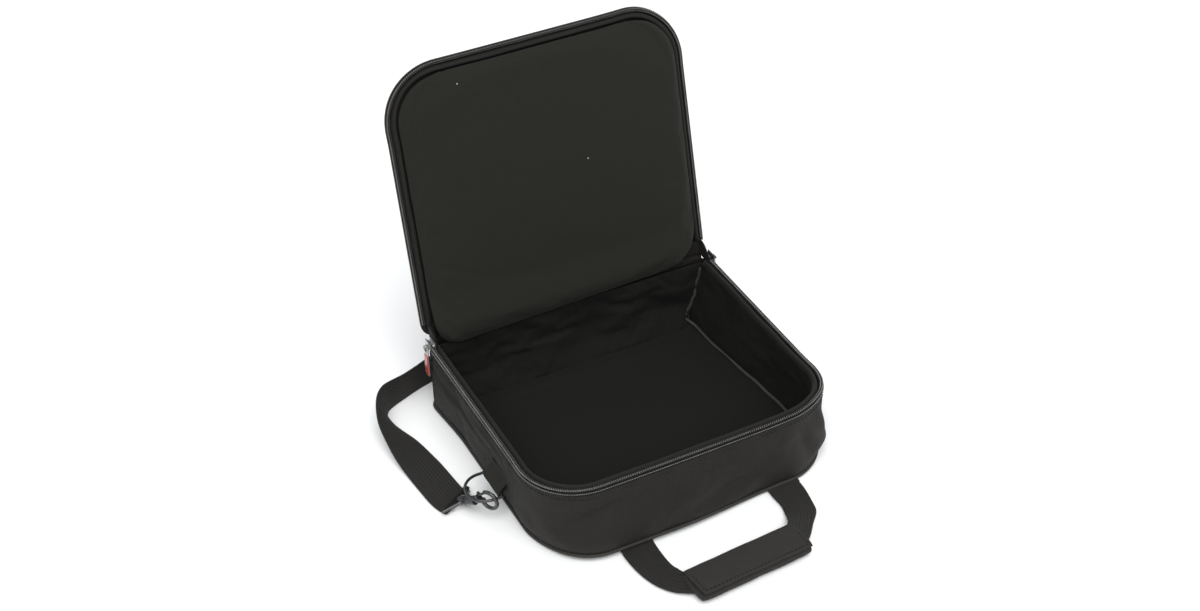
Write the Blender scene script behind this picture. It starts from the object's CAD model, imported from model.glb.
"""Zip-round carry case: soft goods, zip, strap and hardware, built round the CAD frame."""

import math

import bpy
from mathutils import Matrix, Vector, noise


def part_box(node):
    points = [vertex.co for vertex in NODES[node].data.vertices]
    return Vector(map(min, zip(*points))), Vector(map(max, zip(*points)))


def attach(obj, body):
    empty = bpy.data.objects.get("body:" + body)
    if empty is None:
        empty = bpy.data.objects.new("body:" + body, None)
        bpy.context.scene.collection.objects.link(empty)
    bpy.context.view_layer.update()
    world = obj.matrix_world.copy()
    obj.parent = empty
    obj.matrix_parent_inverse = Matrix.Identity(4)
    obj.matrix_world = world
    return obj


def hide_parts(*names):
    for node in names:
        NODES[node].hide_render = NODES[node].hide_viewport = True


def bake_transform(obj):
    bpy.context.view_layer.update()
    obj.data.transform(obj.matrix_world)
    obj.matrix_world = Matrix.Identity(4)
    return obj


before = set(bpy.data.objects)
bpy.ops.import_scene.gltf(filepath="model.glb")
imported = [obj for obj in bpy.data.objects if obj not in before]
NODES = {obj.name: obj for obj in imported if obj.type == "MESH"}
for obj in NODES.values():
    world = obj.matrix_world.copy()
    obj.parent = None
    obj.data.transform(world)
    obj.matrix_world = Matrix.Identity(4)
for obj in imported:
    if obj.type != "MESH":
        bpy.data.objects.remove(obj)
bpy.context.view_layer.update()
MM = 0.001

# ------------------------------------------------------------------ sizes from the frame, in mm
BASE_HIGH = Vector(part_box("bottom_panel")[1]) / MM
HALF_W = BASE_HIGH.x
HALF_D = BASE_HIGH.y
RIM_Z = 87.0
WALL_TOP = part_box("gusset_shell")[1][2] / MM
FLOOR_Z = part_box("floor_lining")[1][2] / MM
FRONT_R = 62.0
REAR_R = 14.0
SPLIT_Y = HALF_D - REAR_R
WALL_T = 10.5
HINGE = Vector((0, HALF_D - 2, RIM_Z))
LID_OPEN = math.radians(104.5)
LID_TOP = RIM_Z + 11
LID_STRETCH = 0.014  # the soft lid is a little longer than the base
OPENED = (Matrix.Translation(HINGE * MM) @ Matrix.Rotation(-LID_OPEN, 4, "X")
          @ Matrix.Translation(-HINGE * MM))


# ------------------------------------------------------------------ small maths
def smooth(a, b, x):
    """0 before a, 1 after b, and an even S between them."""
    t = min(max((x - a) / (b - a), 0.0), 1.0)
    return t * t * (3 - 2 * t)


def bump(x, centre, width):
    return math.exp(-((x - centre) / width) ** 2)


def fold(a, b, c, size):
    """Soft noise, about -1 to 1, with features about size mm across."""
    return noise.noise(Vector((a, b, c)) / size) * 1.6


def spline(points, step):
    """Catmull-Rom through rows of numbers, resampled about every step in the first three."""
    rows = []
    for i in range(len(points) - 1):
        p0 = points[max(i - 1, 0)]
        p1, p2 = points[i], points[i + 1]
        p3 = points[min(i + 2, len(points) - 1)]
        count = max(1, round(math.dist(p1[:3], p2[:3]) / step))
        for k in range(count):
            t = k / count
            rows.append([
                0.5 * (2 * b + (c - a) * t + (2 * a - 5 * b + 4 * c - d) * t * t
                       + (3 * b - a - 3 * c + d) * t ** 3)
                for a, b, c, d in zip(p0, p1, p2, p3)
            ])
    rows.append(list(points[-1]))
    return rows


def around(rows, i):
    """The entries before and after i, or i itself at an end."""
    return rows[max(i - 1, 0)], rows[min(i + 1, len(rows) - 1)]


# ------------------------------------------------------------------ plan outline of the case
SIDE_L = SPLIT_Y + HALF_D - FRONT_R
FRONT_L = 2 * (HALF_W - FRONT_R)
REAR_L = 2 * (HALF_W - REAR_R)
FRONT_ARC = FRONT_R * math.pi / 2
REAR_ARC = REAR_R * math.pi / 2
GUSSET_L = 2 * SIDE_L + 2 * FRONT_ARC + FRONT_L
LOOP_L = GUSSET_L + 2 * REAR_ARC + REAR_L


def outline(s, inset):
    """Point and outward normal at s mm along the outside, from the left end of the zip round
    the handle side; inset moves it in towards the middle of the case."""
    s = s % LOOP_L
    arcs = [
        (SIDE_L, None, (-HALF_W, SPLIT_Y), (0, -1), (-1, 0)),
        (FRONT_ARC, FRONT_R, (-HALF_W + FRONT_R, -HALF_D + FRONT_R), 180, None),
        (FRONT_L, None, (-HALF_W + FRONT_R, -HALF_D), (1, 0), (0, -1)),
        (FRONT_ARC, FRONT_R, (HALF_W - FRONT_R, -HALF_D + FRONT_R), 270, None),
        (SIDE_L, None, (HALF_W, -HALF_D + FRONT_R), (0, 1), (1, 0)),
        (REAR_ARC, REAR_R, (HALF_W - REAR_R, SPLIT_Y), 0, None),
        (REAR_L, None, (HALF_W - REAR_R, HALF_D), (-1, 0), (0, 1)),
        (REAR_ARC, REAR_R, (-HALF_W + REAR_R, SPLIT_Y), 90, None),
    ]
    for length, radius, start, way, normal in arcs:
        if s <= length:
            break
        s -= length
    if radius is None:
        x = start[0] + way[0] * s - normal[0] * inset
        y = start[1] + way[1] * s - normal[1] * inset
        return x, y, normal[0], normal[1]
    turn = math.radians(way + 90 * s / length)
    reach = max(radius - inset, 1.0)
    nx, ny = math.cos(turn), math.sin(turn)
    return start[0] + reach * nx, start[1] + reach * ny, nx, ny


# ------------------------------------------------------------------ how the soft case has settled
CORNER_LIFT, LIFT_X, LIFT_Y, LIFT_SPREAD = 5.5, 140, -140, 29  # the raised right front corner


def rim_shift(x, y):
    """The rim's own shape, shared by the base and the closed lid so that their zips still meet."""
    front = smooth(-62, -HALF_D, y)
    dx = 3.0 * front * x / HALF_W
    dz = CORNER_LIFT * math.exp(-((x - LIFT_X) ** 2 + (y - LIFT_Y) ** 2) / (2 * LIFT_SPREAD ** 2))
    dz += 1.0 * math.sin(x / 60) * front
    return dx, dz


def settle_base(p):
    """Moves a point of the base from the CAD's exact box to the settled shape."""
    x, y, z = p
    up = min(max(z / RIM_Z, 0.0), 1.1)
    dx, dz = rim_shift(x, y)
    x1 = x + dx * up
    z1 = z + dz * up ** 2
    if x < 0:
        x1 += 6.0 * (1 - min(up, 1)) * (-x / HALF_W) * smooth(150, 60, y)
    low = math.sin(math.pi * min(max(z / 62, 0), 1))
    slump = 12.0 * smooth(110, -30, x) * (1 - min(up, 1)) * smooth(-95, -HALF_D, y)
    y1 = y - 3.5 * low * smooth(-100, -HALF_D, y) - slump
    z1 += 0.36 * slump * (1 - min(up, 1)) ** 3
    return Vector((x1, y1, z1))


def settle_lid(p):
    """The same for the lid, in its closed place."""
    dx, dz = rim_shift(p[0], p[1])
    stretch = LID_STRETCH * (HINGE.y - p[1])
    return Vector((p[0] + dx, p[1] - stretch, p[2] + dz))


# ------------------------------------------------------------------ making meshes
def add_mesh(name, verts, faces, uvs=None, scale=MM):
    """verts in mm; uvs is one (u, v) in mm for each vertex, or a list for each face's corners."""
    mesh = bpy.data.meshes.new(name)
    mesh.from_pydata([Vector(v) * scale for v in verts], [], faces)
    if uvs is not None:
        layer = mesh.uv_layers.new(name="weave")
        for face_index, polygon in enumerate(mesh.polygons):
            for corner, loop in enumerate(polygon.loop_indices):
                if len(uvs) == len(verts):
                    u, v = uvs[polygon.vertices[corner]]
                else:
                    u, v = uvs[face_index][corner]
                layer.data[loop].uv = (u * MM, v * MM)
    mesh.polygons.foreach_set("use_smooth", [True] * len(mesh.polygons))
    mesh.update()
    obj = bpy.data.objects.new(name, mesh)
    bpy.context.scene.collection.objects.link(obj)
    return obj


def dress(obj, material):
    obj.data.materials.clear()
    obj.data.materials.append(material)


def finish_piece(obj, body, material, replaced=()):
    """Rides a piece on its body; one on the lid is made in the closed place and opened here."""
    dress(obj, material)
    if body == "lid":
        obj.matrix_world = OPENED
        bpy.context.view_layer.update()
    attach(obj, body)
    if replaced:
        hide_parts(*replaced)


def finish_blend(obj, material, replaced=()):
    """The same for fabric that crosses a joint; start and end are in metres."""
    dress(obj, material)
    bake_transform(obj)
    if replaced:
        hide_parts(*replaced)


def grid_faces(rows, columns, closed_rows=False, closed_columns=False):
    faces = []
    for i in range(rows if closed_rows else rows - 1):
        for j in range(columns if closed_columns else columns - 1):
            a = i * columns + j
            b = i * columns + (j + 1) % columns
            c = ((i + 1) % rows) * columns + (j + 1) % columns
            d = ((i + 1) % rows) * columns + j
            faces.append((a, b, c, d))
    return faces


def sweep_mesh(rings, closed=False):
    """A closed solid through rings of points; open ends are capped."""
    count = len(rings[0])
    verts = [p for ring in rings for p in ring]
    faces = grid_faces(len(rings), count, closed_rows=closed, closed_columns=True)
    if not closed:
        faces.append(tuple(range(count - 1, -1, -1)))
        faces.append(tuple(range((len(rings) - 1) * count, len(rings) * count)))
    return verts, faces


def solid(name, rings, closed=False):
    verts, faces = sweep_mesh(rings, closed)
    return add_mesh(name, verts, faces)


def band(name, profile, s_from, s_to, step, settle):
    """Sweeps a closed profile of (inset, z) along the outline, as one solid."""
    count = max(2, round((s_to - s_from) / step)) + 1
    rings = []
    for i in range(count):
        s = s_from + (s_to - s_from) * i / (count - 1)
        ring = []
        for inset, z in profile:
            x, y, _, _ = outline(s, inset)
            ring.append(settle((x, y, z)))
        rings.append(ring)
    return solid(name, rings)


def round_profile(centre, half_w, half_h, count, power=1.0):
    """Points round an ellipse in (inset, z), squarer as power drops below 1."""
    points = []
    for k in range(count):
        a = 2 * math.pi * k / count
        c, s = math.cos(a), math.sin(a)
        points.append((centre[0] + half_w * math.copysign(abs(c) ** power, c),
                       centre[1] + half_h * math.copysign(abs(s) ** power, s)))
    return points


def circle(p, across, other, radius, sides):
    return [p + radius * (math.cos(a) * across + math.sin(a) * other)
            for a in (2 * math.pi * k / sides for k in range(sides))]


def tube_rings(points, radius, sides, closed=False):
    """Rings for a round tube along points; radius is a number or one for each point."""
    rings = []
    count = len(points)
    up = Vector((0, 0, 1))
    for i, p in enumerate(points):
        if closed:
            ahead, behind = points[(i + 1) % count], points[i - 1]
        else:
            behind, ahead = around(points, i)
        way = (Vector(ahead) - Vector(behind)).normalized()
        across = way.cross(up)
        if across.length < 0.2:
            across = way.cross(Vector((0, 1, 0)))
        across.normalize()
        other = across.cross(way)
        r = radius[i] if hasattr(radius, "__len__") else radius
        rings.append(circle(Vector(p), across, other, r, sides))
    return rings


def tube(name, points, radius, sides=8, closed=False):
    return solid(name, tube_rings(points, radius, sides, closed), closed)


def many_tubes(name, runs, radius, sides=6):
    """One mesh with a short tube along each run of points, thinner at its ends."""
    verts, faces = [], []
    for run in runs:
        radii = [radius * (0.45 if k in (0, len(run) - 1) else 1.0) for k in range(len(run))]
        v, f = sweep_mesh(tube_rings(run, radii, sides))
        faces += [tuple(k + len(verts) for k in face) for face in f]
        verts += v
    return add_mesh(name, verts, faces)


def stitches(name, place, s_from, s_to, pitch=4.4, length=3.0, radius=0.42):
    """Thread laid in short stitches; place(s) gives a point on the cloth and its outward normal."""
    runs = []
    count = int((s_to - s_from) / pitch)
    for i in range(count):
        s = s_from + (i + 0.5) * pitch
        run = []
        for t, rise in ((-0.5, -0.25), (-0.3, 0.15), (0.0, 0.3), (0.3, 0.15), (0.5, -0.25)):
            p, n = place(s + t * length)
            run.append(p + n * rise)
        runs.append(run)
    return many_tubes(name, runs, radius, 5)


# ------------------------------------------------------------------ materials
def new_material(name):
    material = bpy.data.materials.new(name)
    material.use_nodes = True
    tree = material.node_tree
    return material, tree, tree.nodes["Principled BSDF"]


def link(tree, a, b):
    tree.links.new(a, b)


def put(made, **inputs):
    """Sets a node's own sockets; an underscore stands for a space in a socket's name."""
    for key, value in inputs.items():
        made.inputs[key.replace("_", " ")].default_value = value


def node(tree, kind, **inputs):
    made = tree.nodes.new(kind)
    put(made, **inputs)
    return made


def maths(tree, operation, a, b):
    made = tree.nodes.new("ShaderNodeMath")
    made.operation = operation
    for socket, value in ((made.inputs[0], a), (made.inputs[1], b)):
        if isinstance(value, (int, float)):
            socket.default_value = value
        else:
            link(tree, value, socket)
    return made.outputs[0]


def noise_texture(tree, vector, scale, detail, roughness):
    texture = node(tree, "ShaderNodeTexNoise", Scale=scale, Detail=detail, Roughness=roughness)
    link(tree, vector, texture.inputs["Vector"])
    return texture.outputs["Fac"]


def raise_surface(tree, shader, height, strength, distance):
    relief = node(tree, "ShaderNodeBump", Strength=strength, Distance=distance)
    link(tree, height, relief.inputs["Height"])
    link(tree, relief.outputs["Normal"], shader.inputs["Normal"])


def two_tones(tree, factor, *stops):
    """Colour from a ramp between two stops, each a position and a colour."""
    ramp = tree.nodes.new("ShaderNodeValToRGB")
    for element, (position, colour) in zip(ramp.color_ramp.elements, stops):
        element.position = position
        element.color = list(colour) + [1]
    link(tree, factor, ramp.inputs["Fac"])
    return ramp.outputs["Color"]


WAVE_TURN = 0.314  # a wave texture of scale 1 repeats after this length


def weave_height(tree, vector, across_mm, along_mm):
    """Height of a plain weave from two crossed bands of thread."""
    parts = []
    for direction, pitch in (("X", across_mm), ("Y", along_mm)):
        wave = tree.nodes.new("ShaderNodeTexWave")
        wave.bands_direction = direction
        put(wave, Scale=WAVE_TURN / (pitch * MM), Distortion=0.6, Detail=1.0, Detail_Scale=0.6)
        link(tree, vector, wave.inputs["Vector"])
        parts.append(wave.outputs["Fac"])
    return maths(tree, "MULTIPLY", maths(tree, "ADD", parts[0], parts[1]), 0.5)


def cloth_material(name, colour, weave=(0.9, 0.9), depth=0.00012, mottle=0.25, fuzz=0.25,
                   sheen=0.04, roughness=0.85, coords="UV", specks=0.0, shine=0.18,
                   contrast=0.55, streak=1.0, grain=1500.0):
    """Woven or brushed cloth: thread relief, fine fuzz, soft patches of wear and stray lint."""
    material, tree, shader = new_material(name)
    place = tree.nodes.new("ShaderNodeTexCoord")
    vector = place.outputs[coords]
    weave_h = weave_height(tree, vector, *weave)
    solid_place = place.outputs["Object"]
    fibre = node(tree, "ShaderNodeMapRange", From_Min=0.34, From_Max=0.66)
    link(tree, noise_texture(tree, solid_place, grain, 3.0, 0.7), fibre.inputs["Value"])
    patches = noise_texture(tree, solid_place, 11.0, 5.0, 0.6)
    drawn = node(tree, "ShaderNodeMapping", Scale=(1.0, 1.0, streak))
    link(tree, solid_place, drawn.inputs["Vector"])
    slubs = noise_texture(tree, drawn.outputs["Vector"], 160.0, 2.0, 0.5)
    height = maths(tree, "ADD", maths(tree, "MULTIPLY", weave_h, 1 - fuzz),
                   maths(tree, "MULTIPLY", fibre.outputs["Result"], fuzz))
    height = maths(tree, "ADD", height, maths(tree, "MULTIPLY", slubs, 0.35))
    raise_surface(tree, shader, height, 1.0, depth)
    tone = maths(tree, "ADD", maths(tree, "MULTIPLY", height, contrast),
                 maths(tree, "MULTIPLY", patches, mottle * 2))
    colour_out = two_tones(tree, tone, (0.15, [c * 0.45 for c in colour]),
                           (0.95 + mottle, [c * 1.6 for c in colour]))
    if specks > 0:
        lint = node(tree, "ShaderNodeTexVoronoi", Scale=55.0, Randomness=1.0)
        link(tree, solid_place, lint.inputs["Vector"])
        near = maths(tree, "LESS_THAN", lint.outputs["Distance"], 0.045)
        split = tree.nodes.new("ShaderNodeSeparateColor")
        link(tree, lint.outputs["Color"], split.inputs["Color"])
        rare = maths(tree, "LESS_THAN", split.outputs[0], specks)
        mix = tree.nodes.new("ShaderNodeMix")
        mix.data_type = "RGBA"
        link(tree, maths(tree, "MULTIPLY", near, rare), mix.inputs["Factor"])
        link(tree, colour_out, mix.inputs["A"])
        mix.inputs["B"].default_value = (0.35, 0.33, 0.28, 1)
        colour_out = mix.outputs["Result"]
    link(tree, colour_out, shader.inputs["Base Color"])
    put(shader, Roughness=roughness, Specular_IOR_Level=shine, Sheen_Weight=sheen,
        Sheen_Roughness=0.45)
    return material


def hard_material(name, colour, roughness, metallic=0.0, coat=0.0, wear=0.3, grain=400.0,
                  edge=(0.5, 0.5, 0.5)):
    """Moulded or plated parts: fine grain, handling marks and paler rubbed spots."""
    material, tree, shader = new_material(name)
    place = tree.nodes.new("ShaderNodeTexCoord")
    fine = noise_texture(tree, place.outputs["Object"], grain, 4.0, 0.6)
    rub = noise_texture(tree, place.outputs["Object"], 90.0, 6.0, 0.75)
    raise_surface(tree, shader, fine, 0.6, 0.00005)
    tone = two_tones(tree, rub, (0.35, colour),
                     (0.8, [c + (e - c) * wear for c, e in zip(colour, edge)]))
    link(tree, tone, shader.inputs["Base Color"])
    gloss = node(tree, "ShaderNodeMapRange", To_Min=roughness * 0.75, To_Max=min(roughness * 1.4, 1))
    link(tree, rub, gloss.inputs["Value"])
    link(tree, gloss.outputs["Result"], shader.inputs["Roughness"])
    put(shader, Metallic=metallic, Coat_Weight=coat)
    return material


SHELL = cloth_material("shell_nylon", (0.0103, 0.0094, 0.0084), weave=(1.9, 1.7), depth=0.0005,
                       mottle=0.3, fuzz=0.2, sheen=0.030, roughness=0.72, shine=0.14, contrast=2.0)
LINING = cloth_material("brushed_lining", (0.0098, 0.0096, 0.0081), weave=(0.7, 0.9), depth=0.0001,
                        mottle=0.45, fuzz=0.75, sheen=0.052, roughness=0.95, coords="Object",
                        specks=0.12, shine=0.10, streak=0.12, grain=450.0, contrast=1.5)
WALL_LINING = cloth_material("wall_lining", (0.0072, 0.0070, 0.0063), weave=(0.7, 0.9),
                             depth=0.0001, mottle=0.4, fuzz=0.7, sheen=0.018, roughness=0.95,
                             specks=0.01, shine=0.10, grain=650.0)
FLOOR_CLOTH = cloth_material("floor_lining", (0.0055, 0.0053, 0.0049), weave=(0.8, 0.8),
                             depth=0.0001, mottle=0.4, fuzz=0.7, sheen=0.022, roughness=0.95,
                             coords="Object", specks=0.14, shine=0.10, grain=650.0, contrast=1.3)
FACING = cloth_material("facing", (0.0104, 0.0100, 0.0090), weave=(0.6, 0.6), depth=0.00008,
                        mottle=0.25, fuzz=0.3, sheen=0.045, roughness=0.8, coords="Object")
PIPING = cloth_material("piping", (0.0319, 0.0300, 0.0270), weave=(0.6, 0.6), depth=0.0001,
                        mottle=0.3, fuzz=0.3, sheen=0.045, roughness=0.8, coords="Object")
TAPE = cloth_material("zip_tape", (0.0042, 0.0041, 0.0038), weave=(0.5, 0.7), depth=0.0001,
                      mottle=0.2, fuzz=0.2, coords="Object")
WEBBING = cloth_material("webbing", (0.0111, 0.0103, 0.0089), weave=(3.45, 1.4), depth=0.0006,
                         mottle=0.2, fuzz=0.12, sheen=0.030, roughness=0.68, shine=0.23, contrast=0.9)
WRAP = cloth_material("wrap_cloth", (0.0158, 0.0145, 0.0132), weave=(1.3, 1.3), depth=0.0004,
                      mottle=0.25, fuzz=0.25, sheen=0.037, roughness=0.75, coords="Object", contrast=1.1)
THREAD = cloth_material("thread", (0.0084, 0.0078, 0.0070), weave=(0.3, 0.3), depth=0.00005,
                        mottle=0.1, fuzz=0.3, coords="Object")
COIL = hard_material("zip_coil", (0.1202, 0.1165, 0.1089), 0.42, coat=0.1, wear=0.35, grain=900.0,
                     edge=(0.5, 0.48, 0.44))
DARK_METAL = hard_material("dark_metal", (0.0158, 0.0158, 0.0172), 0.24, metallic=0.35, coat=0.3,
                           wear=0.25, edge=(0.25, 0.25, 0.25))
GREY_METAL = hard_material("grey_metal", (0.42, 0.42, 0.41), 0.3, metallic=0.9, wear=0.4,
                           edge=(0.75, 0.74, 0.72))
PULL_METAL = hard_material("pull_metal", (0.62, 0.62, 0.61), 0.28, metallic=0.9, wear=0.4,
                           edge=(0.85, 0.84, 0.82))
ENAMEL = hard_material("red_enamel", (0.42, 0.035, 0.025), 0.3, coat=0.4, wear=0.1,
                       edge=(0.6, 0.2, 0.15))

# ------------------------------------------------------------------ camera
CAMERA_AT = Vector((-0.7288, -1.3885, 1.3628))
CAMERA_TURN = math.radians(26.6)
CAMERA_DOWN = math.radians(37.37)
CAMERA_ROLL = math.radians(-0.8)


def add_camera():
    data = bpy.data.cameras.new("camera")
    data.sensor_width = 36
    data.lens = 60.3
    camera = bpy.data.objects.new("camera", data)
    bpy.context.scene.collection.objects.link(camera)
    ahead = Vector((math.sin(CAMERA_TURN) * math.cos(CAMERA_DOWN),
                    math.cos(CAMERA_TURN) * math.cos(CAMERA_DOWN), -math.sin(CAMERA_DOWN)))
    right = ahead.cross(Vector((0, 0, 1))).normalized()
    up = right.cross(ahead)
    c, s = math.cos(CAMERA_ROLL), math.sin(CAMERA_ROLL)
    right, up = right * c + up * s, up * c - right * s
    turned = Matrix((right, up, -ahead)).transposed().to_4x4()
    camera.matrix_world = Matrix.Translation(CAMERA_AT) @ turned
    bpy.context.scene.camera = camera


add_camera()

# ------------------------------------------------------------------ shoulder strap
STRAP_W = 38.0
STRAP_T = 2.2
FLOOR_GAP = 0.6
# The route of part.scad: x, y, lean in degrees from flat, lift off the floor, all in mm
STRAP_LEFT = [
    (-204.3, -11.7, 0, 0), (-205.6, -9.4, 0, 0), (-208, 2, 0, 0), (-210, 22, 0, 0), (-212, 42, 1, 0),
    (-215, 62, 8, 0), (-218, 84, 22, 0), (-221, 104, 40, 0), (-221, 122, 62, 0), (-218, 136, 78, 0),
    (-211, 146, 88, 0), (-201, 151, 94, 0), (-186, 156, 98, 0), (-168, 163, 98, 0),
    (-148, 170, 95, 0), (-120, 177, 91, 0), (-90, 178, 90, 0),
]
STRAP_BACK = [
    (-30, 178, 90, 0), (40, 178, 90, 0), (100, 178, 90, 0), (120, 179, 90, 0),
    (131, 184, 90, 0), (135, 192, 90, 1), (131, 200, 90, 2), (120, 205, 90, 3), (100, 206, 90, 3),
    (40, 206, 90, 3), (-20, 206, 90, 3), (-56, 206, 90, 3), (-69, 211, 90, 2), (-75, 220, 90, 1),
    (-69, 229, 90, 0), (-58, 233.6, 90, 0), (-40, 234, 90, 0),
]
STRAP_RIGHT = [
    (20, 234, 90, 0), (80, 234, 90, 0), (130, 233, 90, 0), (160, 226, 90, 0),
    (177, 208, 90, 0), (184, 186, 90, 0), (187, 160, 90, 0), (188, 134, 92, 0), (188, 110, 100, 0),
    (188, 88, 118, 0), (189, 66, 140, 0), (190, 46, 160, 0), (190, 28, 174, 0), (190, 12, 180, 0),
    (190, 0.6, 180, 0), (190, -2, 180, 0),
]
RIBS = 11
RIB_H = 0.34


def strap_frames():
    """Centre, width direction and face direction at each step along the route."""
    route = [(x, y, 0, lean, lift) for x, y, lean, lift in STRAP_LEFT + STRAP_BACK + STRAP_RIGHT]
    rows = spline(route, 3.0)
    frames = []
    for i, (x, y, _, lean, lift) in enumerate(rows):
        a, b = around(rows, i)
        turn = math.atan2(b[1] - a[1], b[0] - a[0])
        lean = math.radians(lean)
        left = Vector((-math.sin(turn), math.cos(turn), 0))
        across = left * math.cos(lean) + Vector((0, 0, math.sin(lean)))
        out = Vector((0, 0, math.cos(lean))) - left * math.sin(lean)
        rise = abs(math.sin(lean)) * STRAP_W / 2 + abs(math.cos(lean)) * STRAP_T / 2
        frames.append((Vector((x, y, rise + FLOOR_GAP + lift)), across, out))
    return frames


def webbing_ring(centre, across, out, width, thickness):
    """Cross-section of ribbed webbing: shallow ribs on both faces and rounded selvedges."""
    steps = RIBS * 4
    upper, lower = [], []
    for k in range(steps + 1):
        t = k / steps
        u = (t - 0.5) * (width - thickness)
        h = thickness / 2 - RIB_H + RIB_H * abs(math.sin(math.pi * RIBS * t))
        upper.append((u, h))
        lower.append((u, -h))
    edge = []
    for k in (1, 2, 3):
        a = math.pi / 2 - math.pi * k / 4
        edge.append(((width - thickness) / 2 + thickness / 2 * math.cos(a), thickness / 2 * math.sin(a)))
    loop = upper + edge + lower[::-1] + [(-u, -h) for u, h in edge]
    return [centre + across * u + out * h for u, h in loop], loop


def webbing_mesh(name, frames, width=STRAP_W, thickness=STRAP_T):
    """Webbing through frames (centre, across, out[, width]); UVs run across and along it."""
    rings, uvs = [], []
    along = 0.0
    for i, row in enumerate(frames):
        w = row[3] if len(row) > 3 else width
        if i:
            along += (row[0] - frames[i - 1][0]).length
        ring, loop = webbing_ring(row[0], row[1], row[2], w, thickness)
        rings.append(ring)
        uvs += [(u, along) for u, _ in loop]
    verts, faces = sweep_mesh(rings)
    return add_mesh(name, verts, faces, uvs)


STRAP_FRAMES = strap_frames()

strap = webbing_mesh("shoulder_strap", STRAP_FRAMES)
finish_piece(strap, "base", WEBBING, ("strap_left", "strap_back", "strap_right"))

# ------------------------------------------------------------------ cloth
SOFT_JOBS = []
CLOTH_FRAMES = 16


def modify(obj, kind, **settings):
    """Adds a modifier with its settings and applies it."""
    modifier = obj.modifiers.new(kind.lower(), kind)
    for key, value in settings.items():
        setattr(modifier, key, value)
    graph = bpy.context.evaluated_depsgraph_get()
    mesh = bpy.data.meshes.new_from_object(obj.evaluated_get(graph))
    mesh.polygons.foreach_set("use_smooth", [True] * len(mesh.polygons))
    obj.modifiers.clear()
    obj.data = mesh


def add_cloth(obj, pinned, pressure, swell, cap, stiff=12.0, bend=0.3):
    """Books a piece for the simulation; pinned is a test on a point in mm, cap is in mm."""
    group = obj.vertex_groups.new(name="pinned")
    held = [v.index for v in obj.data.vertices if pinned(v.co / MM)]
    if held:
        group.add(held, 1.0, "REPLACE")
    cloth = obj.modifiers.new("cloth", "CLOTH")
    settings = cloth.settings
    for key, value in dict(quality=4, mass=0.2, air_damping=2.0, tension_stiffness=stiff,
                           compression_stiffness=stiff, shear_stiffness=stiff * 0.5,
                           bending_stiffness=bend, use_pressure=True,
                           uniform_pressure_force=pressure, shrink_min=-swell).items():
        setattr(settings, key, value)
    settings.effector_weights.gravity = 0
    if held:
        settings.vertex_group_mass = "pinned"
        settings.pin_stiffness = 1.0
    SOFT_JOBS.append((obj, cap))


def run_cloth():
    """Runs every booked cloth together, limits how far each point moved and keeps the result."""
    scene = bpy.context.scene
    scene.frame_start, scene.frame_end = 1, CLOTH_FRAMES
    for step in range(1, CLOTH_FRAMES + 1):
        scene.frame_set(step)
    graph = bpy.context.evaluated_depsgraph_get()
    for obj, cap in SOFT_JOBS:
        moved = [v.co.copy() for v in obj.evaluated_get(graph).data.vertices]
        for vertex, target in zip(obj.data.vertices, moved):
            step = target - vertex.co
            if step.length > cap * MM:
                step *= cap * MM / step.length
            vertex.co = vertex.co + step
        obj.modifiers.clear()
        obj.data.update()
    scene.frame_set(1)


def subdivide(obj):
    modify(obj, "SUBSURF", levels=1, render_levels=1)


def thicken(obj, thickness):
    """Gives a sheet its thickness, away from the side its normals face."""
    modify(obj, "SOLIDIFY", thickness=thickness * MM, offset=-1)


# ------------------------------------------------------------------ padded walls
# Soft dents and swells of the outer cloth: place along the wall, height, their half sizes,
# tilt in degrees and depth, where minus is inwards, in mm
DENTS = [
    (288, 50, 30, 11, 22, -7.5), (250, 34, 18, 22, 0, 3.4), (330, 24, 44, 12, 4, 3.2),
    (300, 67, 42, 6, 2, 2.4), (432, 30, 44, 11, 10, -5.5), (470, 60, 54, 9, 0, 2.8),
    (390, 46, 20, 16, -12, 2.6), (532, 40, 11, 26, 28, -7.0), (557, 48, 7, 28, 26, 5.0),
    (584, 18, 30, 15, 0, 6.5), (604, 56, 16, 14, 0, -3.0), (120, 34, 46, 16, 0, -2.2),
    (60, 48, 34, 8, 4, 1.2), (690, 38, 60, 18, 0, -2.0), (40, 30, 30, 16, 0, 1.0),
    (760, 30, 30, 16, 0, 1.0), (205, 20, 22, 12, 0, 2.6),
]


def dent(s, z):
    total = 0.0
    for s0, z0, half_s, half_z, tilt, depth in DENTS:
        c, d = math.cos(math.radians(tilt)), math.sin(math.radians(tilt))
        a = (c * (s - s0) + d * (z - z0)) / half_s
        b = (-d * (s - s0) + c * (z - z0)) / half_z
        total += depth * math.exp(-a * a - b * b)
    return total


def outside_point(s, z):
    """Outer cloth of the wall: rolled in at both seams, dented between."""
    inset = 1.6 - 1.6 * smooth(2, 12, z) + 1.0 * smooth(WALL_TOP - 6, WALL_TOP + 1, z)
    free = smooth(2, 18, z) * (1 - smooth(WALL_TOP - 16, WALL_TOP, z))
    at_side = (1 - smooth(160, 196, s)) if s < GUSSET_L else 0
    crease = (-2.2 * bump(z, 67, 2.6) - 1.7 * bump(z + 0.05 * s, 57, 3.4)) * at_side
    out = (dent(s, z) + 0.5 * fold(s, z, 3.1, 45)) * free + crease
    x, y, nx, ny = outline(s, inset)
    p = settle_base((x, y, z))
    return p + Vector((nx, ny, 0)) * out, Vector((nx, ny, 0))


def bunch(x, y, z):
    """How far the slack lining has crept in low down at the right hinge corner."""
    return 13.0 * smooth(60, 150, x) * smooth(-60, 110, y) * smooth(WALL_TOP, FLOOR_Z, z)


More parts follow.
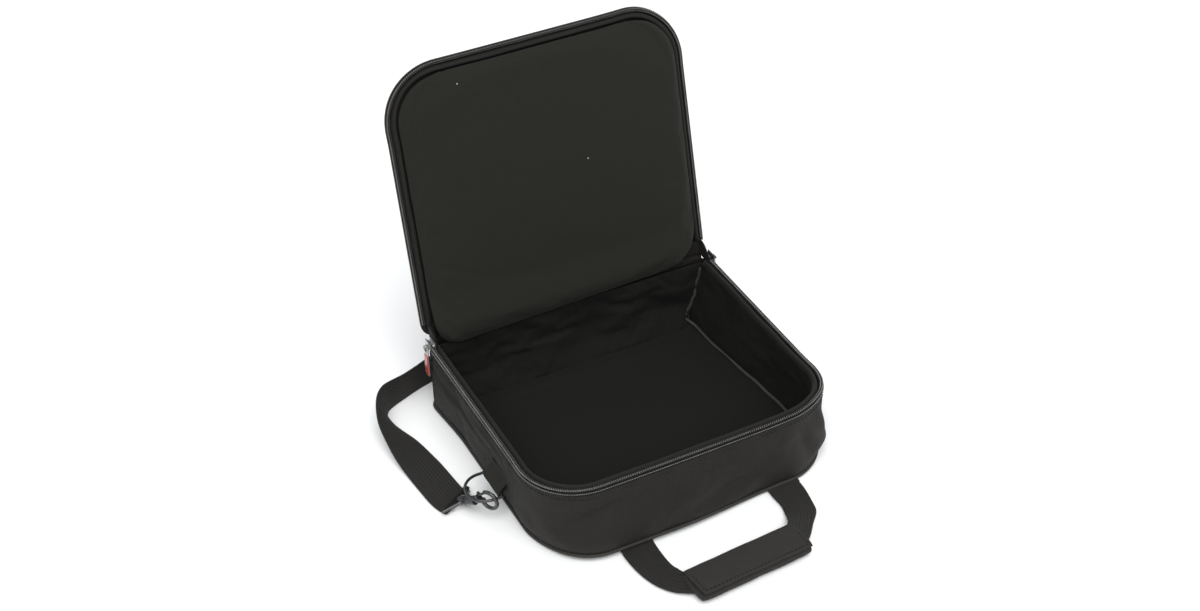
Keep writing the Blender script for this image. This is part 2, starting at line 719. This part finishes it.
def inside_point(s, z):
    """Lining of the wall, slack enough to ripple, more so low down at the hinge side."""
    at_rear = smooth(GUSSET_L + 4, GUSSET_L + 40, s) * smooth(LOOP_L - 4, LOOP_L - 40, s)
    inset = WALL_T + 0.4 + 15 * at_rear * smooth(FLOOR_Z + 34, FLOOR_Z - 2, z) ** 2
    slack = 0.35 + 0.9 * bump(s, GUSSET_L + REAR_L / 2, 150)
    ripple = slack * fold(s * 0.35, z * 1.3, 8.7, 16) * smooth(WALL_TOP, WALL_TOP - 20, z)
    x, y, nx, ny = outline(s, inset)
    p = settle_base((x - bunch(x, y, z), y, z))
    return p - Vector((nx, ny, 0)) * ripple, Vector((-nx, -ny, 0))


def border_test(held):
    """A test for whether a point is one of those held, to a hundredth of a millimetre."""
    return lambda p: rounded(p) in held


def rounded(p):
    return tuple(round(c, 2) for c in p)


def wall_sheet(name, point, s_from, s_to, z_from, z_to, flip):
    """A sheet of wall cloth, and a test for its border; UVs are the lengths along and up it."""
    columns = round((s_to - s_from) / WALL_STEP) + 1
    rows = round((z_to - z_from) / WALL_STEP) + 1
    verts, uvs, held = [], [], set()
    for i in range(rows):
        z = z_from + (z_to - z_from) * i / (rows - 1)
        for j in range(columns):
            s = s_from + (s_to - s_from) * j / (columns - 1)
            verts.append(point(s, z)[0])
            uvs.append((s, z))
            if i in (0, rows - 1) or j in (0, columns - 1):
                held.add(rounded(verts[-1]))
    faces = grid_faces(rows, columns)
    if flip:
        faces = [face[::-1] for face in faces]
    return add_mesh(name, verts, faces, uvs), border_test(held)


WALL_STEP = 3.2
WALLS = [
    ("wall_outer_cloth", outside_point, 0, GUSSET_L, 2.4, WALL_TOP + 1, False, SHELL, "shell_cloth",
     ("gusset_shell", "gusset_foam"), 1.2, 0.004, 2.2),
    ("wall_lining_cloth", inside_point, 0, GUSSET_L, FLOOR_Z - 1, WALL_TOP + 1, True, WALL_LINING,
     "brushed_lining", ("gusset_lining",), 0.6, 0.012, 2.0),
    ("rear_outer_cloth", outside_point, GUSSET_L, LOOP_L, 2.4, WALL_TOP + 1, False, SHELL,
     "shell_cloth", ("rear_shell", "rear_foam"), 1.2, 0.004, 2.2),
    ("rear_lining_cloth", inside_point, GUSSET_L, LOOP_L, FLOOR_Z - 1, WALL_TOP + 1, True,
     FLOOR_CLOTH, "brushed_lining", ("rear_lining",), 0.6, 0.035, 4.0),
]
wall_pieces = []
for name, point, s0, s1, z0, z1, flip, material, slot, replaced, pressure, swell, cap in WALLS:
    sheet, border = wall_sheet(name, point, s0, s1, z0, z1, flip)
    add_cloth(sheet, border, pressure, swell, cap)
    wall_pieces.append((sheet, material, slot, replaced))


# ------------------------------------------------------------------ round-cornered panels
def panel(name, rows, settle, count=220):
    """A closed panel from rows of (inset, shrink, z) or (inset, shrink, height function), running
    from the middle of its underside out over the edge to the middle of its top."""
    verts, uvs = [], []
    for inset, shrink, height in rows:
        for k in range(count):
            x, y, _, _ = outline(LOOP_L * k / count, inset)
            x, y = x * shrink, y * shrink
            z = height(x, y) if callable(height) else height
            verts.append(settle((x, y, z)))
            uvs.append((x, y))
    faces = grid_faces(len(rows), count, closed_columns=True)
    for row, order in ((0, -1), (len(rows) - 1, 1)):
        height = rows[row][2]
        z = height(0, 0) if callable(height) else height
        middle = len(verts)
        verts.append(settle((0, 0, z)))
        uvs.append((0, 0))
        for k in range(count):
            a, b = row * count + k, row * count + (k + 1) % count
            faces.append((a, b, middle)[::order])
    return add_mesh(name, verts, faces, uvs)


def inner_rows(inset, height, steps=14):
    """Rows that close in evenly from an inset to near the middle."""
    return [(inset, 1 - (k + 0.5) / (steps + 0.5), height) for k in range(steps)]


def floor_height(x, y):
    """Floor lining: nearly flat, with long slack creases near the hinge side."""
    near = smooth(10, 115, y)
    line = y - 0.10 * x + 9 * math.sin(x / 70)
    crease = bump(line, 100, 4.5) * smooth(-150, -60, x) * smooth(150, 40, x)
    crease += 0.8 * bump(line, 82, 5.0) * smooth(-150, -90, x) * smooth(80, -10, x)
    crease += 0.7 * bump(line, 60, 5.0) * smooth(-145, -100, x) * smooth(-20, -70, x)
    crease += 0.6 * bump(line, 112, 4.0) * smooth(-60, 20, x)
    return FLOOR_Z + 0.35 + 0.5 * fold(x, y, 1.0, 60) + 2.2 * crease * near


BOTTOM_EDGE = [(12, 0.0), (3, 0.1), (1.2, 0.5), (0.4, 1.3), (0.6, 2.4), (2.0, 3.2), (12, 3.2)]
bottom = panel("bottom_cloth",
               inner_rows(12, 0.0)[::-1] + [(inset, 1.0, z) for inset, z in BOTTOM_EDGE]
               + inner_rows(12, 3.2), settle_base)
finish_piece(bottom, "base", SHELL, ("bottom_panel", "bottom_board"))


def floor_sheet(name):
    """The floor lining as a mapped grid whose rows end on the wall."""
    rows, columns, inset = 96, 110, WALL_T + 0.2
    verts, uvs = [], []
    corner = FRONT_R - inset
    for i in range(rows + 1):
        y = (HALF_D - inset) * (2 * i / rows - 1)
        below = max(0.0, -(HALF_D - FRONT_R) - y)
        half = HALF_W - FRONT_R + math.sqrt(max(corner ** 2 - below ** 2, 0.0))
        for j in range(columns + 1):
            x = half * (2 * j / columns - 1)
            edge = min(half - abs(x), HALF_D - inset - abs(y))
            z = floor_height(x, y) - 1.2 * smooth(5, 0, edge)
            verts.append(settle_base((x - bunch(x, y, FLOOR_Z), y, z)))
            uvs.append((x, y))
    return add_mesh(name, verts, grid_faces(rows + 1, columns + 1), uvs)


floor_lining = floor_sheet("floor_lining_cloth")
thicken(floor_lining, 2.0)
finish_piece(floor_lining, "base", FLOOR_CLOTH, ("floor_lining", "floor_foam"))


def along(s_from, s_to, step, inset, z, settle, wave=0.0, lift=0.0):
    """Points along the outline; wave and lift make it wander in and up a little."""
    count = round((s_to - s_from) / step)
    points = []
    for i in range(count + 1):
        s = s_from + (s_to - s_from) * i / count
        x, y, _, _ = outline(s, inset + wave * fold(s, 0, 2.0, 40))
        if inset > WALL_T:
            x -= bunch(x, y, z)
        points.append(settle((x, y, z + lift * fold(s, 5, 0, 30))))
    return points


bottom_piping = tube("bottom_edge_piping", along(0, LOOP_L, 5, 0.4, 2.9, settle_base)[:-1], 1.7, 8,
                     closed=True)
finish_piece(bottom_piping, "base", PIPING, ("bottom_piping",))

piping_run = along(8, GUSSET_L - 14, 4, WALL_T + 2.2, FLOOR_Z + 1.8, settle_base, 0.7, 0.7)
kink = [Vector((HALF_W - 29, SPLIT_Y - 8, FLOOR_Z + 4.5)), Vector((HALF_W - 33, SPLIT_Y - 2, FLOOR_Z + 7)),
        Vector((HALF_W - 30, SPLIT_Y, FLOOR_Z + 12))]
floor_piping = tube("floor_piping", piping_run + kink, 1.7, 8)
finish_piece(floor_piping, "base", PIPING, ("floor_binding",))

corner_runs = []
for side in (-1, 1):
    run = []
    for k in range(19):
        z = FLOOR_Z + 2 + (WALL_TOP - FLOOR_Z - 6) * k / 18
        inward = bunch(side * HALF_W, HALF_D, z)
        run.append(Vector((side * (HALF_W - WALL_T - 2.4 - inward + 1.1 * fold(z, side, 0, 12)
                                   - 3 * bump(z, FLOOR_Z + 12, 6)),
                           HALF_D - WALL_T - 2.6 + 1.0 * fold(z, 4, side, 10), z)))
    corner_runs.append(run)
corner_piping = many_tubes("corner_piping", corner_runs, 1.7, 8)
finish_piece(corner_piping, "base", PIPING, ("corner_bindings",))

# ------------------------------------------------------------------ zip: tape, coil, facing
PITCH = 2.25
COIL_W = 1.45
COIL_H = 1.05
COIL_WIRE = 0.38


def coil(name, inset, z, settle, way):
    """A continuous nylon coil: one turn of wire for each tooth, flattened across the tape."""
    turns = int((GUSSET_L - 4) / PITCH)
    per_turn, sides = 10, 5
    centres = []
    for i in range(turns * per_turn):
        a = 2 * math.pi * i / per_turn
        s = 2 + (i / per_turn) * PITCH
        x, y, _, _ = outline(s, inset + COIL_W * math.cos(a))
        centres.append(settle((x, y, z + way * COIL_H * math.sin(a))))
    rings = []
    for i, p in enumerate(centres):
        before, after = around(centres, i)
        ahead = (after - before).normalized()
        s = 2 + (i / per_turn) * PITCH
        a, b = outline(s - 1, inset), outline(s + 1, inset)
        onward = Vector((b[0] - a[0], b[1] - a[1], 0)).normalized()
        across = ahead.cross(onward).normalized()
        other = across.cross(ahead).normalized()
        rings.append(circle(p, across, other, COIL_WIRE, sides))
    return solid(name, rings)


def wavy(settle, inset_wave, z_wave, phase):
    """Adds a loose hand-sewn wander to a band."""
    size = 38
    def moved(p):
        x, y, z = p
        reach = math.hypot(x, y)
        pull = inset_wave * fold(x, y, phase, size) / reach
        return settle((x * (1 + pull), y * (1 + pull), z + z_wave * fold(x, y, phase + 9, size)))
    return moved


COIL_INSET = 1.7
# Body, height of the coil, way its wire curls, shape, tape profile as (inset, z), facing node,
# the facing's height and half height, and how far and where it wanders
ZIP_HALVES = [
    ("base", RIM_Z - 2.2, 1, settle_base,
     [(0.2, 77.5), (0.0, 80.5), (0.3, 82.9), (1.6, 83.6), (4.2, 83.4), (4.4, 82.6), (2.0, 82.4),
      (1.5, 80.5), (1.6, 77.5)], "rim_facing", 80.6, 4.6, 0.6, 1.5),
    ("lid", RIM_Z + 2.2, -1, settle_lid,
     [(0.2, 95.5), (-0.1, 93.0), (0.3, 91.4), (1.6, 91.0), (4.2, 91.1), (4.4, 91.6), (2.0, 91.8),
      (1.5, 93.4), (1.6, 95.5)], "lid_facing", 91.6, 4.4, 0.7, 4.5),
]
for body, z, way, settle, profile, facing, facing_z, facing_h, wander, phase in ZIP_HALVES:
    finish_piece(coil(f"{body}_zip_teeth", COIL_INSET, z, settle, way), body, COIL,
                 (f"{body}_zip_coil",))
    cord_run = along(1, GUSSET_L - 1, 3.0, COIL_INSET, z + way * 1.2, settle)
    finish_piece(tube(f"{body}_zip_cord", cord_run, 0.55, 6), body, TAPE)
    finish_piece(band(f"{body}_zip_tape_cloth", profile, 0, GUSSET_L, 4, settle), body, TAPE,
                 (f"{body}_zip_tape",))
    finish_piece(band(f"{facing}_cloth", round_profile((7.95, facing_z), 2.5, facing_h, 14, 0.8),
                      1, GUSSET_L - 1, 4, wavy(settle, 0.35, wander, phase)),
                 body, FACING, (facing,))


# ------------------------------------------------------------------ lid
def lid_height(x, y):
    """Outer cloth of the lid: barely domed, with the foam's soft waves."""
    edge = min(HALF_W - abs(x), HALF_D - abs(y))
    return LID_TOP + (0.9 + 0.8 * fold(x, y, 6.0, 70)) * smooth(4, 40, edge)


LID_EDGE = [(6.0, 93.0), (2.6, 92.4), (1.0, 92.2), (0.3, 92.8), (0.0, 94.0), (0.3, 95.6), (1.4, 97.0),
            (3.2, 97.9)]
lid_skin = panel("lid_outer_cloth",
                 inner_rows(6, 94.5)[::-1] + [(6.0, 1.0, 94.5)]
                 + [(inset, 1.0, z) for inset, z in LID_EDGE]
                 + [(inset, 1.0, lid_height) for inset in (6, 9, 12)]
                 + inner_rows(12, lid_height, 36), settle_lid, 300)
finish_piece(lid_skin, "lid", SHELL, ("lid_shell", "lid_board", "lid_foam"))

# The pad hangs from its own edge seam, so its lower edge droops forward over the hinge-side wall
LID_UP = Vector((0, -math.cos(LID_OPEN), math.sin(LID_OPEN)))
LID_IN = Vector((0, -math.sin(LID_OPEN), -math.cos(LID_OPEN)))
PAD_HALF_W = HALF_W - 10.8
PAD_TOP = 2 * HALF_D - 2 - 10.8
PAD_TOP_R = 50.5
PAD_LOW_R = (24.0, 46.0)
PAD_LOW = (-11.0, -4.0)
PAD_THICK = 7.0


def pad_place(x, v, w):
    """World place of a pad point: x across, v up the lid from the hinge line, w in from the lid."""
    droop = smooth(46, 0, v)
    dx, dz = rim_shift(x, HINGE.y - max(v, 0))
    lift = 7.5 * droop
    return HINGE + Vector((x + dx, 0, 0)) + LID_UP * v * (1 + LID_STRETCH) + LID_IN * (w + lift - dz)


def pad_sheet(name):
    """Front of the pad as a mapped grid, its edge turned back to the lid, and a test for that edge."""
    rows, columns = 84, 92
    verts, uvs, held = [], [], set()
    for i in range(rows + 1):
        t = i / rows
        halves = []
        for low, radius in zip(PAD_LOW, PAD_LOW_R):
            v = low + (PAD_TOP - low) * t
            above = max(0.0, v - (PAD_TOP - PAD_TOP_R))
            below = max(0.0, low + radius - v)
            cut = PAD_TOP_R - math.sqrt(PAD_TOP_R ** 2 - above ** 2)
            cut += radius - math.sqrt(radius ** 2 - below ** 2)
            halves.append(PAD_HALF_W - cut)
        for j in range(columns + 1):
            k = j / columns
            x = -halves[0] + (halves[0] + halves[1]) * k
            low = PAD_LOW[0] + (PAD_LOW[1] - PAD_LOW[0]) * k
            v = low + (PAD_TOP - low) * t
            edge = min(x + halves[0], halves[1] - x, v - low, PAD_TOP - v)
            w = PAD_THICK - 5.0 * smooth(8, 0, edge) + 0.7 * fold(x, v, 5.0, 55) * smooth(0, 20, edge)
            verts.append(pad_place(x, v, w))
            uvs.append((x, v))
            if i in (0, rows) or j in (0, columns):
                held.add(rounded(verts[-1]))
    return add_mesh(name, verts, grid_faces(rows + 1, columns + 1), uvs), border_test(held)


lid_pad, pad_edge = pad_sheet("lid_lining_pad")
add_cloth(lid_pad, pad_edge, 1.6, 0.006, 2.5)


# ------------------------------------------------------------------ handle
SEAM_Y = -HALF_D
HANDLE_X = 12.0
LEG_PITCH = 168.0
WRAP_C = Vector((HANDLE_X - 6, SEAM_Y - 85.5, 7.6))
WRAP_TURN = math.radians(4.2)
WRAP_L, WRAP_D, WRAP_H = 127.0, 41.0, 13.4


def wrap_place(u, v, w):
    """u along the sleeve, v across it towards the case, w up."""
    c, s = math.cos(WRAP_TURN), math.sin(WRAP_TURN)
    return WRAP_C + Vector((u * c - v * s, u * s + v * c, w))


def wrap_mesh(name):
    """The sleeve before it is stuffed: a flat-sided roll, a little thinner at its ends."""
    rings = []
    steps = 40
    for i in range(steps + 1):
        u = (i / steps - 0.5) * WRAP_L
        end = 1 - 0.06 * bump(abs(u), WRAP_L / 2, 9)
        ring = []
        for v, w in round_profile((0, 0), (WRAP_D / 2 - 0.6) * end, (WRAP_H / 2 - 0.8) * end, 32, 0.45):
            ring.append(wrap_place(u, v, w))
        rings.append(ring)
    return solid(name, rings)


wrap = wrap_mesh("handle_sleeve")
modify(wrap, "TRIANGULATE")
modify(wrap, "REMESH", mode="VOXEL", voxel_size=3.0 * MM)
modify(wrap, "SMOOTH", factor=0.5, iterations=3)
add_cloth(wrap, lambda p: p.z < 1.6, 3.5, 0.006, 1.6, stiff=14, bend=0.4)

# Run the cloth, then dress each soft piece
run_cloth()

for sheet, material, slot, replaced in wall_pieces:
    thicken(sheet, 1.2)
    subdivide(sheet)
    finish_piece(sheet, "base", material, replaced)

thicken(lid_pad, 1.5)
subdivide(lid_pad)
finish_blend(lid_pad,
             LINING, ("lid_lining",))

subdivide(wrap)
finish_piece(wrap, "handle", WRAP, ("handle_wrap", "handle_core", "grip_closure"))


def flap_mesh(name):
    """Flap lapped over the sleeve from its case side, with a turned edge in front."""
    path = [(18.5, 5.0), (16, 7.4), (11, 8.3), (4, 8.7), (-8, 8.7), (-15, 8.5), (-20.5, 7.9)]
    rows = spline([(v, w, 0) for v, w in path], 1.6)
    columns = 44
    rings = []
    for i in range(columns + 1):
        u = (i / columns - 0.5) * (WRAP_L - 1)
        ring_top, ring_low = [], []
        for k, (v, w, _) in enumerate(rows):
            a, b = around(rows, k)
            n = Vector((-(b[1] - a[1]), b[0] - a[0]))
            n = -n.normalized() if n.y < 0 else n.normalized()
            edge = 0.5 * smooth(3, 0, min(k, len(rows) - 1 - k))
            swell = 0.35 * fold(u, v * 2, 2.0, 22)
            ring_top.append(wrap_place(u, v + n.x * (0.9 - edge), w + n.y * (0.9 - edge) + swell))
            ring_low.append(wrap_place(u, v - n.x * 0.5, w - n.y * 0.5 + swell))
        rings.append(ring_top + ring_low[::-1])
    return solid(name, rings)


flap = flap_mesh("sleeve_flap")
subdivide(flap)
finish_blend(flap,
             WRAP, ("wrap_flap",))


# Inner and outer edge of each leg, from the bottom seam to the sleeve, in mm
LEG_EDGES = {
    "left": ([(-54, -142.5, 1.9), (-56.5, -158, 2.0), (-57, -180, 2.2), (-56.6, -194, 4.2), (-56, -203, 8.0),
              (-55, -209, 9.5), (-50, -214, 9.5)],
             [(-90, -142.5, 1.9), (-91.2, -160, 2.0), (-90, -180, 2.0), (-86.5, -197, 2.0),
              (-80.5, -212, 2.2), (-70, -226, 3.0), (-52, -238, 4.5)]),
    "right": ([(78, -142.5, 1.9), (78, -155, 2.0), (78.4, -169, 2.2), (75, -182, 3.4), (71, -192, 8.0),
               (67, -199, 9.5), (61, -204, 9.5)],
              [(113, -142.5, 1.9), (112.5, -158, 2.0), (109.5, -176, 2.0), (105.5, -191, 2.0),
               (93, -205, 2.4), (79, -221, 3.4), (62, -232, 4.5)]),
}


def leg_frames(inner, outer):
    """Handle webbing from the bottom seam out to the sleeve, turned and gathered into its end."""
    rows = spline([a + b for a, b in zip(inner, outer)], 3.0)
    frames = []
    for i, row in enumerate(rows):
        a, b = Vector(row[:3]), Vector(row[3:])
        across = (b - a)
        width = across.length
        across.normalize()
        before, after = around(rows, i)
        onward = (Vector(after[:3]) + Vector(after[3:])
                  - Vector(before[:3]) - Vector(before[3:])).normalized()
        out = across.cross(onward).normalized()
        if out.z < 0:
            out = -out
        frames.append((0.5 * (a + b), across, out, width))
    return frames


for word, edges in LEG_EDGES.items():
    leg = webbing_mesh(f"handle_webbing_{word}", leg_frames(*edges))
    finish_blend(leg,
                 WEBBING, (f"handle_leg_{word}",))

roots = []
for side in (-1, 1):
    x = HANDLE_X + side * LEG_PITCH / 2
    rows = [(Vector((x, SEAM_Y + 4 - 2.2 * k, 1.9)), Vector((1, 0, 0)), Vector((0, 0, 1)))
            for k in range(5)]
    roots.append(webbing_mesh("handle_root", rows, width=36.0))


def join(objects, name):
    """One object from several, materials and all."""
    verts, faces, uvs = [], [], []
    for obj in objects:
        base = len(verts)
        verts += [v.co / MM for v in obj.data.vertices]
        layer = obj.data.uv_layers.active
        for polygon in obj.data.polygons:
            faces.append(tuple(base + k for k in polygon.vertices))
            if layer:
                uvs.append([tuple(layer.data[i].uv / MM) for i in polygon.loop_indices])
        bpy.data.objects.remove(obj)
    return add_mesh(name, verts, faces, uvs or None)


finish_piece(join(roots, "handle_roots"), "base", WEBBING, ("handle_anchors",))

# ------------------------------------------------------------------ cloth hinge
hinge_rows = spline([(139.2, 77.0, 0), (141.4, 79.5, 0), (142.6, 81.6, 0), (142.8, 83.4, 0), (142.2, 85.2, 0),
                     (142.6, 87.4, 0), (143.2, 90.5, 0), (144.2, 94.5, 0), (145.2, 98.5, 0)], 1.0)
rings = []
for i in range(81):
    x = (i / 80 - 0.5) * 2 * (HALF_W - 5.4)
    past = max(0.0, abs(x) - (HALF_W - REAR_R))
    drawn_in = REAR_R - math.sqrt(REAR_R ** 2 - past ** 2)
    outer, inner = [], []
    for y, z, _ in hinge_rows:
        near = y - drawn_in * (1 - 0.6 * smooth(88, 98, z)) + 0.4 * fold(x, z, 0, 25)
        outer.append(Vector((x, near + 0.5, z)))
        inner.append(Vector((x, near - 0.7, z)))
    rings.append(outer + inner[::-1])
hinge_cloth = solid("hinge_cloth", rings)
finish_blend(hinge_cloth,
             SHELL, ("hinge_strip",))


CORNER_REACH = 17.0
for side, word in ((-1, "left"), (1, "right")):
    rings = []
    for i in range(17):
        a = LID_OPEN * i / 16
        way = Vector((0, -math.cos(a), math.sin(a)))
        inner, outer = [], []
        for k in range(7):
            reach = 1.0 + (CORNER_REACH - 1) * k / 6
            x = HALF_W - 6.2 + 0.3 * fold(i * 4, k * 4, side, 12)
            p = HINGE + Vector((0, 0, -2.4 * math.cos(a / 2))) + way * reach
            inner.append(p + Vector((side * (x - 0.9), 0, 0)))
            outer.append(p + Vector((side * (x + 0.9), 0, 0)))
        rings.append(inner + outer[::-1])
    corner = solid(f"hinge_corner_{word}", rings)
    finish_blend(corner,
                 TAPE)


# ------------------------------------------------------------------ D-ring tabs
BAR_Z = 28.0
BAR_Y = -34.0
BAR_X = HALF_W + 4.7
TAB_W = 36.0


def tab_frames(side):
    """Webbing down the wall, round the ring's bar and back up behind itself."""
    top = settle_base((side * HALF_W, BAR_Y, 45))
    wall = settle_base((side * HALF_W, BAR_Y, 33))
    reach = 2.9
    path = [(abs(top.x) + 0.4, 46.0), (abs(top.x) + 1.2, 41.0), (BAR_X + 0.2, 34.0)]
    path += [(BAR_X + reach * math.cos(a), BAR_Z + reach * math.sin(a))
             for a in (math.radians(t) for t in (45, 0, -45, -90, -135, -180, -215))]
    path += [(abs(wall.x) + 1.6, 35.0), (abs(top.x) - 0.8, 42.0)]
    rows = spline([(x, z, 0) for x, z in path], 1.2)
    frames = []
    for i, (x, z, _) in enumerate(rows):
        a, b = around(rows, i)
        onward = Vector((side * (b[0] - a[0]), 0, b[1] - a[1])).normalized()
        across = Vector((0, 1, 0))
        frames.append((Vector((side * x, BAR_Y, z)), across, across.cross(onward).normalized()))
    return frames


for side, word in ((-1, "left"), (1, "right")):
    tab = webbing_mesh(f"ring_tab_webbing_{word}", tab_frames(side), width=TAB_W, thickness=1.5)
    finish_piece(tab, "base", WEBBING, (f"ring_tab_{word}",))

# ------------------------------------------------------------------ stitching
def tape_point(inset, z, settle):
    """Places thread on the outer face of a zip tape."""
    def place(s):
        x, y, nx, ny = outline(s, inset)
        return settle((x, y, z)), Vector((nx, ny, 0))
    return place


for body, inset, z, settle in (("base", -0.15, 81.2, settle_base), ("lid", -0.2, 92.9, settle_lid)):
    row = stitches(f"{body}_tape_stitching", tape_point(inset, z, settle), 3, GUSSET_L - 3, PITCH,
                   1.4, 0.5)
    finish_piece(row, body, COIL)
topstitch = stitches("wall_topstitching", lambda s: outside_point(s, 74.5), 4, GUSSET_L - 4)
finish_piece(topstitch, "base", THREAD)
bottom_stitch = stitches("bottom_topstitching", lambda s: outside_point(s, 7.5), 2, LOOP_L - 2)
finish_piece(bottom_stitch, "base", THREAD)


def flap_stitch(v, w):
    """Places thread along the flap at v across it."""
    return lambda u: (wrap_place(u, v, w), Vector((0, 0, 1)))


def flap_end_stitch(u):
    return lambda v: (wrap_place(u, v, 9.5), Vector((0, 0, 1)))


half = WRAP_L / 2
flap_threads = [
    stitches("flap_thread", flap_stitch(-17.0, 9.2), -half + 4, half - 4),
    stitches("flap_thread", flap_end_stitch(-half + 4.5), -16, 6),
    stitches("flap_thread", flap_end_stitch(half - 4.5), -16, 2),
]
finish_piece(join(flap_threads, "flap_topstitching"), "flap", THREAD)

# ------------------------------------------------------------------ hardware keeps its CAD shape
FINISHES = [
    (DARK_METAL, ("d_ring_left", "d_ring_right", "hook_eye_left", "hook_eye_right", "hook_left",
                  "hook_right", "hook_gate_left", "hook_gate_right", "strap_adjuster", "slider_right")),
    (GREY_METAL, ("slider_left",)),
    (PULL_METAL, ("pull_left", "pull_right")),
    (ENAMEL, ("pull_face_left", "pull_face_right")),
    (COIL, ("zip_stops",)),
    (WEBBING, ("strap_end_left", "strap_end_right")),
]
for material, names in FINISHES:
    for name in names:
        dress(NODES[name], material)


# ------------------------------------------------------------------ floor, lights
def add_studio():
    half = 6.0
    floor = add_mesh("studio_floor", [(-half, -half, 0), (half, -half, 0), (half, half, 0), (-half, half, 0)],
                     [(0, 1, 2, 3)], scale=1.0)
    floor.location.z = -0.0004
    material, _, shader = new_material("studio_floor")
    put(shader, Base_Color=(0.86, 0.86, 0.855, 1), Roughness=0.9)
    floor.data.materials.append(material)
    world = bpy.data.worlds.new("studio")
    bpy.context.scene.world = world
    world.use_nodes = True
    put(world.node_tree.nodes["Background"], Color=(0.93, 0.96, 1.0, 1), Strength=0.5)
    lights = [
        ("key", (-0.45, -1.1, 1.9), "SUN", 3.0, math.radians(55)),
        ("fill", (1.6, -0.5, 1.3), "SUN", 0.45, math.radians(60)),
        ("back", (0.2, 1.6, 2.0), "SUN", 0.5, math.radians(60)),
    ]
    for name, at, kind, power, softness in lights:
        data = bpy.data.lights.new(name, kind)
        data.energy = power
        data.angle = softness
        lamp = bpy.data.objects.new(name, data)
        bpy.context.scene.collection.objects.link(lamp)
        lamp.location = at
        lamp.rotation_euler = (-Vector(at)).to_track_quat("-Z", "Y").to_euler()
    bpy.context.scene.view_settings.view_transform = "Standard"


add_studio()
